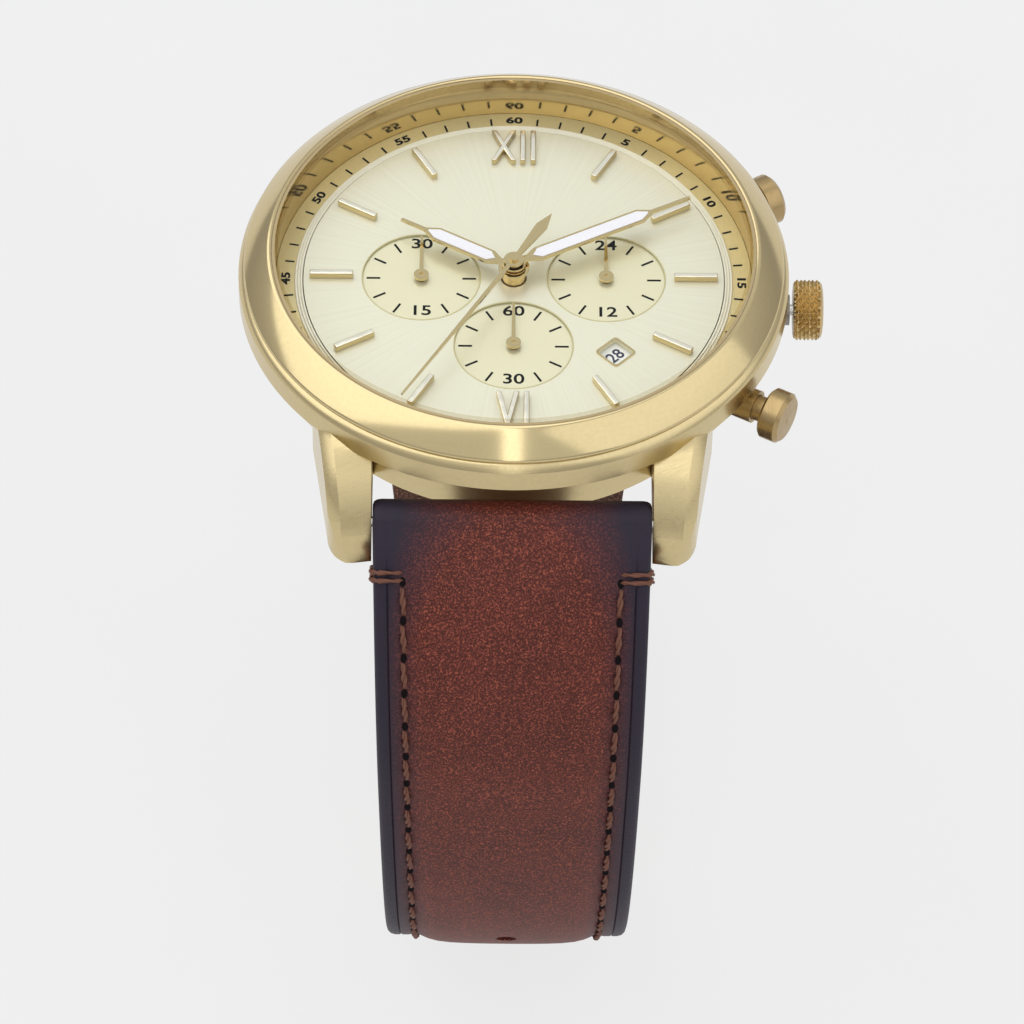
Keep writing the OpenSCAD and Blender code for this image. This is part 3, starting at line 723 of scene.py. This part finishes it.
def fold(name, y, z, radius, width, material):
    """Rounded end of the strap that wraps round a bar."""
    end = -width / 2
    profile = ((end, 0.86), (end, radius - 0.45), (end + 0.1, radius - 0.2), (end + 0.35, radius - 0.05),
               (end + 0.7, radius), (0, radius))
    profile += tuple((-x, r) for x, r in profile[-2::-1])
    rings = []
    sides = 40
    for x, r in profile:
        turns = [2 * math.pi * k / sides for k in range(sides)]
        rings += [(x, y + r * math.cos(a), z + r * math.sin(a)) for a in turns]
    obj = mesh_object(name, rings, tube_faces(len(profile), sides, closed=True), material)
    recalculate(obj)
    return obj


STITCH_PITCH = 3.05
STITCH_LENGTH = 2.35
STITCH_POINTS = 12
THREAD_R = 0.16
HOLE_BEFORE = 0.35                     # a needle hole's place before its stitch, and half its length
HOLE_HALF = 0.38
HOLE_SIDE = 0.25                       # half its width, and its depth
HOLE_DEPTH = 0.45


def thread(points, radius, turns, vertices, faces, strands=2, sides=6):
    """Adds twisted strands along a short line of points to vertices and faces."""
    count = len(points)
    for strand in range(strands):
        start = len(vertices)
        for i, p in enumerate(points):
            a, b = points[max(i - 1, 0)], points[min(i + 1, count - 1)]
            along = (Vector(b) - Vector(a)).normalized()
            across = along.cross(Vector((0.3, 0.5, 0.8))).normalized()
            rise = along.cross(across)
            twist = 2 * math.pi * (turns * i / (count - 1) + strand / strands)
            end = math.sin(math.pi * min(0.94, max(0.06, i / (count - 1)))) ** 0.35
            offset = math.cos(twist) * across + math.sin(twist) * rise
            centre = Vector(p) + 0.75 * radius * end * offset
            for k in range(sides):
                a = 2 * math.pi * k / sides
                vertices.append(tuple(centre + radius * end * (math.cos(a) * across + math.sin(a) * rise)))
        faces += [tuple(start + k for k in face) for face in tube_faces(count, sides)]


def stitches(strap, start, stop, material, hole_material):
    """Two rows of saddle stitches with their needle holes, drawn as near-black pits of painted shade, and a
    double stitch over each edge.
    """
    vertices, faces, holes, hole_faces = [], [], [], []
    for edge in (-1, 1):
        s = start
        while s + STITCH_LENGTH < stop:
            points = []
            for k in range(STITCH_POINTS + 1):
                share = k / STITCH_POINTS
                along = s + share * STITCH_LENGTH
                _, seam, margin, soft, _ = strap.shape(along)
                arch = (0.14 + 0.2 * soft) * math.sin(math.pi * share) ** 0.5
                points.append(strap.point(along, edge * (seam + 0.1 - 0.16 * share),
                                          margin - 0.38 + 0.18 * soft + arch))
            thread(points, THREAD_R, 1.5, vertices, faces)
            middle = s - HOLE_BEFORE
            _, seam, margin, _, _ = strap.shape(middle)
            base = len(holes)
            for q in range(12):
                a = math.pi * q / 6
                holes.append(strap.point(middle + HOLE_HALF * math.cos(a),
                                         edge * (seam + 0.02) + HOLE_SIDE * math.sin(a), margin + 0.01))
            holes.append(strap.point(middle, edge * seam, margin - HOLE_DEPTH))
            hole_faces.append(tuple(base + q for q in range(12)))
            hole_faces += [(base + (q + 1) % 12, base + q, base + 12) for q in range(12)]
            s += STITCH_PITCH
        half, seam, margin, _, _ = strap.shape(start - 0.7)
        under = -STRAP_T0 / 2
        for row in (-0.3, 0.3):
            wrap = [(seam - 0.05, margin - 0.25), (seam + 0.3, margin + 0.12), (half - 1.2, margin + 0.2),
                    (half - 0.5, margin + 0.14), (half - 0.02, margin - 0.14), (half + 0.1, margin - 0.6),
                    (half + 0.1, 0.0), (half + 0.1, under + 0.5), (half - 0.1, under + 0.02),
                    (half - 1.2, under - 0.1), (seam, under + 0.1)]
            points = [strap.point(start - 0.75 + row, edge * x, h) for x, h in wrap]
            thread(points, THREAD_R, 3, vertices, faces)
    obj = mesh_object(strap.key + "_strap_stitching", vertices, faces, material)
    pits = mesh_object(strap.key + "_needle_holes", holes, hole_faces, hole_material, smooth=False)
    for piece in (obj, pits):
        recalculate(piece)
        attach(piece, "watch", slot="strap_leather")


def cutter(vertices, sides):
    """Closed tool between two rings of points, for cutting."""
    obj = mesh_object("cutter", vertices, tube_faces(2, sides), bpy.data.materials[0])
    recalculate(obj)
    return obj


def hole_cutter(strap, i, radius):
    """Round cutter through the strap at station i."""
    vertices = []
    y, z = strap.line[i]
    ny, nz = strap.turned[i]
    for h in (-4, 4):
        for q in range(24):
            x, t = radius * math.cos(math.pi * q / 12), radius * math.sin(math.pi * q / 12)
            vertices.append((x, y + h * ny + t * nz, z + h * nz - t * ny))
    return cutter(vertices, 24)


def bar_cutter(y, z, radius):
    """Round cutter along a bar across the strap."""
    turns = [math.pi * q / 16 for q in range(32)]
    return cutter([(x, y + radius * math.cos(a), z + radius * math.sin(a))
                   for x in (-14, 14) for a in turns], 32)


def box_cutter(low, high):
    corners = ((low[0], low[1]), (high[0], low[1]), (high[0], high[1]), (low[0], high[1]))
    return cutter([(x, y, z) for z in (low[2], high[2]) for x, y in corners], 4)


def keeper(node, body, material):
    """Leather loop with rounded corners and rounded rims."""
    low, high = (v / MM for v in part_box(node))
    half, top, bottom = high.x - 0.05, high.z - 0.02, low.z + 0.02
    wall, corner, corner_points = 0.68, 1.3, 7

    def outline(inset):
        w, t, b, r = half - inset, top - inset, bottom + inset, max(0.35, corner - inset)
        points = []
        for cx, cz, first in ((w - r, t - r, 0), (-w + r, t - r, 90), (-w + r, b + r, 180),
                              (w - r, b + r, 270)):
            turns = [math.radians(first + 90 * k / (corner_points - 1)) for k in range(corner_points)]
            points += [(cx + r * math.cos(a), cz + r * math.sin(a)) for a in turns]
        return points

    y0, y1 = low.y + 0.04, high.y - 0.04
    sections = [(y0, wall - 0.12), (y0, 0.16), (y0 + 0.12, 0.04), (y0 + 0.4, 0.0), (y1 - 0.4, 0.0),
                (y1 - 0.12, 0.04), (y1, 0.16), (y1, wall - 0.12), (y1 - 0.1, wall), (y0 + 0.1, wall)]
    vertices = [(x, y, z) for y, inset in sections for x, z in outline(inset)]
    faces = tube_faces(len(sections), 4 * corner_points, closed=True)
    obj = mesh_object(node + "_leather", vertices, faces, material)
    recalculate(obj)
    attribute = obj.data.attributes.new("edge_mm", "FLOAT", "POINT")
    attribute.data.foreach_set("value", [0.4 + 1.6 * min(v.co.y / MM - y0, y1 - v.co.y / MM)
                                         for v in obj.data.vertices])
    attach(obj, body, node)


def knurled_crown(material):
    """Crown with a diamond-cut grip and a plain domed end."""
    low, high = (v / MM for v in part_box("crown"))
    middle = (low.z + high.z) / 2
    radius, length = high.z - middle, high.x - low.x
    around, teeth, slant, groove = 504, 18, 3.0, 0.34
    grip = length - 0.5
    grip_steps = 52
    # Stations along the crown: (x, radius, grooved or not), from inside the stem's bore outwards.
    stations = [(1.4, 0.47, 0), (0.0, 0.47, 0), (0.0, radius - 0.45, 0), (0.02, radius - 0.3, 0)]
    stations += [(0.12 + grip * k / grip_steps, radius, 1) for k in range(grip_steps + 1)]
    stations += [(length - 0.3, radius - 0.14, 0), (length - 0.12, radius - 0.3, 0),
                 (length - 0.05, radius - 0.6, 0), (length, radius - 1.0, 0), (length, 0.001, 0)]
    vertices = []
    for x, r, grooved in stations:
        for k in range(around):
            turn = k / around * teeth
            lean = x / grip * slant
            cut = max(abs((turn + lean) % 1 - 0.5), abs((turn - lean) % 1 - 0.5)) * 2 if grooved else 0
            depth = groove * max(0, cut - 0.1) / 0.9
            a = 2 * math.pi * k / around
            vertices.append((low.x + x, (r - depth) * math.cos(a), middle + (r - depth) * math.sin(a)))
    obj = mesh_object("crown_knurled", vertices, tube_faces(len(stations), around), material)
    recalculate(obj)
    obj.data.set_sharp_from_angle(angle=math.radians(50))
    attach(obj, "crown", "crown")


def strap_cutters(strap):
    """The tongue's slot and, on the long half, the row of holes on both sides of the used one."""
    half, below, above, hole_r = 1.15, -57, -48, 0.85
    if not strap.is_long:
        return [box_cutter((-half, -5, below), (half, 1.3, above))]
    near = min(range(len(strap.line)), key=lambda i: math.dist(strap.line[i], USED_HOLE))
    spots = [near + round(k * HOLE_PITCH / strap.step) for k in range(-4, 3)]
    slot = box_cutter((-half, -5.3, below), (half, -0.6, above))
    return [slot] + [hole_cutter(strap, i, hole_r) for i in spots]


def build_strap(key, coarse, side, top, under, thread_material, pit_material):
    """Leather, lining and stitching of one strap half."""
    strap = StrapHalf(key, coarse, side)
    leather_piece = strap.layer(key + "_strap_leather", strap.leather, top, first=0)
    last = len(strap.line) if strap.is_long else len(strap.line) - 4
    lining = strap.layer(key + "_strap_liner", strap.lining, under, first=3, last=last)
    folds = [fold("bar_fold", side * BAR_Y, BAR_Z, STRAP_T0 / 2, STRAP_W0 - 0.02, top)]
    tunnels = [bar_cutter(side * BAR_Y, BAR_Z, TUNNEL_R)]
    if strap.is_long:
        carve(lining, strap_cutters(strap))
    else:
        folds.append(fold("hinge_fold", HINGE_Y, SHORT_Z, 1.35, STRAP_W1 - 0.02, top))
        tunnels.append(bar_cutter(HINGE_Y, SHORT_Z, TUNNEL_R))
    carve(leather_piece, strap_cutters(strap) + tunnels, folds)
    for piece, node in ((leather_piece, "_strap_top"), (lining, "_strap_lining")):
        strap.edge_distances(piece)
        piece.data.set_sharp_from_angle(angle=math.radians(60))
        attach(piece, "watch", key + node)
    stitches(strap, 4.9, strap.length - (10 if strap.is_long else 5), thread_material, pit_material)


# ---------------------------------------------------------------- case, bezel, glass and ring
WALL_R = 19.3                          # everything nearer the axis, above the dial, is the polished wall
LUG_X, LUG_Y, LUG_TOP = 10.9, 14, 8.8


def second_material(obj, material, chosen):
    """Gives a further material to the faces that chosen picks by centre and normal."""
    obj.data.materials.append(material)
    index = len(obj.data.materials) - 1
    for polygon in obj.data.polygons:
        if chosen(polygon.center / MM, polygon.normal):
            polygon.material_index = index


def finished_case(material, wall, lugs):
    """Case with its polished inner wall and brushed lug tops."""
    case = refined("mid_case", material, 0.09, crisp_inside=19.5)
    second_material(case, wall, lambda spot, normal: spot.xy.length < WALL_R and spot.z > DIAL_MM)
    second_material(case, lugs, lambda spot, normal: abs(spot.x) > LUG_X and abs(spot.y) > LUG_Y
                    and normal.z > 0.35 and spot.z < LUG_TOP)


def turned_bezel(material, inside):
    """Broad cone that falls from a rounded lip to the rim, with the crystal's seat inside."""
    low, high = (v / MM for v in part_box("bezel"))
    rim, lip, seat = high.x, 19.41, 19.19
    base, top = low.z, high.z
    profile = [(seat, base + 0.01), (rim - 0.2, base + 0.01), (rim - 0.08, base + 0.08),
               (rim - 0.02, base + 0.18), (rim - 0.01, base + 0.34), (rim - 0.04, base + 0.42),
               (rim - 0.13, base + 0.53), (lip + 0.39, top - 0.1), (lip + 0.31, top - 0.05),
               (lip + 0.21, top - 0.02), (lip + 0.09, top - 0.02), (lip + 0.01, top - 0.07),
               (lip, top - 0.15), (lip, top - 1.13), (seat, top - 1.13)]
    bezel = lathe("bezel_turned", profile, material)
    second_material(bezel, inside, lambda spot, normal: spot.xy.length < lip + 0.09)
    attach(bezel, "watch", "bezel")


def ground_crystal(material, edge):
    """Flat glass with bevelled edges."""
    low, high = (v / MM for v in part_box("crystal"))
    rim = high.x - 0.05
    profile = [(rim - 0.15, low.z), (rim, low.z + 0.12), (rim, high.z - 0.22), (rim - 0.2, high.z)]
    glass = lathe("crystal_ground", profile, material, closed=False)
    glass.data.set_sharp_from_angle(angle=math.radians(15))
    second_material(glass, edge, lambda spot, normal: abs(normal.z) < 0.9)
    attach(glass, "watch", "crystal")


def turned_ring(material, steps):
    """Chapter ring: three turned steps beside the dial, then the minute track."""
    low, high = (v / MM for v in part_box("chapter_ring"))
    rim, inner, track = high.x - 0.02, 16.97, 17.6
    profile = [(inner, low.z + 0.02)]
    for k in range(3):
        r, z = inner + 0.22 * k, high.z - 0.05 * k
        profile += [(r, z - 0.04), (r + 0.04, z), (r + 0.15, z), (r + 0.2, z - 0.05)]
    profile += [(track, TRACK_MM + 0.02), (track + 0.06, TRACK_MM), (rim - 0.08, TRACK_MM),
                (rim, TRACK_MM - 0.04), (rim, low.z + 0.02)]
    ring = lathe("chapter_ring_turned", profile, material)
    second_material(ring, steps, lambda spot, normal: spot.xy.length < track)
    attach(ring, "watch", "chapter_ring")


def marker_metal():
    """Diamond-cut markers: their flat tops are coloured near-white as a painted highlight, and their flanks
    stay gold.
    """
    s = Shader("marker_gold", GOLD, 0.14, 1.0)
    # painted highlight: faces that point up are coloured near-white instead of gold
    up = s.node("SeparateXYZ", {"Vector": s.node("NewGeometry").outputs["Normal"]}).outputs["Z"]
    s.into(color=s.mix(s.ramp(up, [(0.9, 0.0), (0.97, 1.0)]), GOLD, (0.93, 0.88, 0.76, 1)),
           roughness=s.ramp(s.noise(s.coords(), 1200, 3), [(0.3, 0.1), (0.7, 0.2)]))
    s.bump(s.noise(s.coords(), 900, 2), 0.003)
    return s.material


# ---------------------------------------------------------------- materials and the CAD parts they go on
gold = polished_gold()
satin_gold = plain("gold_track", (0.80, 0.70, 0.40, 1), 0.45, 0.6, grain=3000, depth=0.0005)
ring_ivory = plain("ring_ivory", srgb(236, 232, 214), 0.35, 0.3, grain=3000, depth=0.0005)
wall_gold = plain("gold_wall", (0.60, 0.47, 0.26, 1), 0.13, 1.0, grain=3000, depth=0.0)
rim_gold = plain("gold_rim", srgb(206, 196, 148), 0.35, 0.4, grain=3000, depth=0.0005)
bezel_gold = plain("gold_bezel", GOLD, 0.13, 1.0, grain=3000, depth=0.0)
lug_gold = brushed_metal("gold_brushed_lugs", turn=math.radians(-20), along=(260, 9000, 3000), depth=0.0025)
case_gold = plain("gold_case_satin", GOLD, 0.24, 1.0, grain=2600, depth=0.001)
grip_gold = plain("gold_knurled", (0.60, 0.45, 0.23, 1), 0.3, 1.0, grain=2500, depth=0.006)
# painted shade: the pushers' gold is a darker copy of the case gold, standing for the shade on the case's
# side
pusher_gold_shaded = brushed_metal("gold_brushed_pushers", color=(0.43, 0.31, 0.15, 1), along=(4200, 60, 1400))
# painted shade: the crown tube's steel is darkened to stand for the shade in the crown's neck
tube_steel_shaded = plain("steel_tube", (0.26, 0.24, 0.21, 1), 0.35, 1.0, grain=1500, depth=0.002)
steel = plain("steel_turned", (0.60, 0.59, 0.57, 1), 0.24, 1.0, grain=1500, depth=0.004)
brushed_steel = brushed_metal("steel_brushed", color=(0.58, 0.57, 0.55, 1))
nickel = plain("nickel_plated", (0.66, 0.62, 0.55, 1), 0.32, 1.0, grain=2600, depth=0.006)
brass = plain("brass_gears", (0.78, 0.58, 0.27, 1), 0.3, 1.0, grain=2000, depth=0.004)
rubber = plain("rubber_black", (0.02, 0.02, 0.02, 1), 0.6, 0.0, grain=3000, depth=0.01)
plastic = plain("plastic_white", (0.82, 0.81, 0.77, 1), 0.42, 0.0, grain=2500, depth=0.004)
copper = plain("copper_wire", (0.72, 0.33, 0.16, 1), 0.35, 1.0, grain=4000, depth=0.02)
board_green = plain("board_green", (0.03, 0.16, 0.07, 1), 0.4, 0.0, grain=1200, depth=0.005)
ink = plain("ink_black", (0.008, 0.008, 0.008, 1), 0.7, 0.0, grain=3000, depth=0.002,
            **{"Specular IOR Level": 0.1})
date_ink = plain("ink_navy", (0.015, 0.014, 0.05, 1), 0.5, 0.0, grain=3000, depth=0.002)
lume_white = plain("lume_white", (0.83, 0.81, 0.86, 1), 0.5, 0.0, grain=3500, depth=0.01)
thread_brown = plain("thread_waxed", srgb(104, 60, 42), 0.55, 0.0, grain=5000, depth=0.03)
pit_dark = plain("needle_hole_shade", (0.008, 0.006, 0.007, 1), 0.9, 0.0, grain=3000, depth=0.01,
                 **{"Specular IOR Level": 0.05})
red_leather = leather("leather_red_brown", srgb(98, 44, 36), srgb(66, 30, 27), srgb(42, 36, 49))
tan_leather = leather("leather_lining", srgb(92, 62, 52), srgb(60, 40, 36), srgb(40, 34, 48), lining=True)

assign(gold, "mid_case", "bezel", "buckle_frame", "buckle_tongue", "hour_hand", "minute_hand",
       "chrono_seconds_hand", "small_seconds_hand", "chrono_minute_hand", "hour24_hand",
       "date_window_frame")
assign(satin_gold, "chapter_ring")
assign(tube_steel_shaded, "crown_tube")
assign(wall_gold, "crystal_gasket")
assign(pusher_gold_shaded, "upper_pusher", "lower_pusher", "pusher_tubes")
assign(dial_lacquer(), "dial")
assign(rubber, "case_back_gasket", "crown_gasket")
assign(plastic, "movement_holder", "date_disc")
assign(nickel, "main_plate")
assign(brass, "train_bridge", "battery_clamp", "hour_wheel", "minute_wheel", "chrono_wheel",
       "seconds_wheel", "chrono_minute_wheel", "hour24_wheel")
assign(copper, "motor_coils")
assign(board_green, "circuit_board")
assign(brushed_steel, "case_back")
assign(steel, "bridge_screws", "quartz_crystal", "coin_cell", "pusher_springs",
       "spring_bars", "spring_bar_springs", "buckle_bar", "spring_bar_tip_6_left",
       "spring_bar_tip_6_right", "spring_bar_tip_12_left", "spring_bar_tip_12_right", "winding_stem",
       "upper_pusher_clip", "lower_pusher_clip")

long_line, short_line = strap_lines()
build_strap("long", long_line, -1, red_leather, tan_leather, thread_brown, pit_dark)
build_strap("short", short_line, 1, red_leather, tan_leather, thread_brown, pit_dark)
keeper("fixed_keeper", "watch", red_leather)
keeper("sliding_keeper", "sliding_keeper", red_leather)
knurled_crown(grip_gold)

finished_case(case_gold, wall_gold, lug_gold)
turned_bezel(bezel_gold, wall_gold)
ground_crystal(crystal_glass(), crystal_glass("crystal_ground_edge", (0.86, 0.82, 0.74, 1), 1.02))
turned_ring(satin_gold, ring_ivory)
refined("dial_markers", marker_metal(), 0.07)

counters(ink)
counter_rims(rim_gold)
minute_track(ink)
dates(date_ink)
for hand, length, tip, clock in (("hour", 10.5, 2.2, 300), ("minute", 16.1, 3.5, 62)):
    lume(hand + "_hand_lume", hand, length, tip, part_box(hand + "_hand")[1].z / MM, clock, lume_white)


# ---------------------------------------------------------------- studio
FLOOR_HALF_MM = 3000


def softbox(name, place, size, watts):
    """Soft rectangular light at place, aimed at the watch."""
    data = bpy.data.lights.new(name, "AREA")
    data.shape = "RECTANGLE"
    data.size, data.size_y = size
    data.energy = watts
    light = bpy.data.objects.new(name, data)
    light.location = place
    light.rotation_euler = Vector(place).to_track_quat("Z", "Y").to_euler()
    bpy.context.scene.collection.objects.link(light)


def studio():
    """Even pale surroundings, brighter overhead, with soft boxes and a pale floor."""
    world = bpy.data.worlds.new("studio")
    world.use_nodes = True
    tree = world.node_tree
    ramp = tree.nodes.new("ShaderNodeValToRGB")
    split = tree.nodes.new("ShaderNodeSeparateXYZ")
    tree.links.new(tree.nodes.new("ShaderNodeTexCoord").outputs["Generated"], split.inputs[0])
    tree.links.new(split.outputs["Z"], ramp.inputs["Fac"])
    tree.links.new(ramp.outputs["Color"], tree.nodes["Background"].inputs["Color"])
    stops = ((0.05, (0.42, 0.42, 0.43, 1)), (0.6, (0.78, 0.79, 0.80, 1)))
    for element, (height, color) in zip(ramp.color_ramp.elements, stops):
        element.position = height
        element.color = color
    bpy.context.scene.world = world
    bpy.context.scene.view_settings.view_transform = "Standard"
    softbox("key", (-0.35, 0.1, 0.6), (1.1, 1.1), 3.8)
    softbox("fill", (0.5, -0.2, 0.4), (0.8, 0.8), 1.1)
    softbox("front", (0.0, -0.62, 0.4), (0.08, 0.8), 0.28)
    floor_material = plain("floor_pale", (0.06, 0.06, 0.06, 1), 0.9, 0.0, grain=30, depth=0.001)
    glow = floor_material.node_tree.nodes["Principled BSDF"].inputs
    glow["Emission Color"].default_value = (1, 1, 1, 1)
    glow["Emission Strength"].default_value = 0.775
    corners = [(x * FLOOR_HALF_MM, y * FLOOR_HALF_MM, FLOOR_Z / MM)
               for x, y in ((-1, -1), (1, -1), (1, 1), (-1, 1))]
    floor = mesh_object("floor", corners, [(0, 1, 2, 3)], floor_material, smooth=False)


make_camera()
studio()
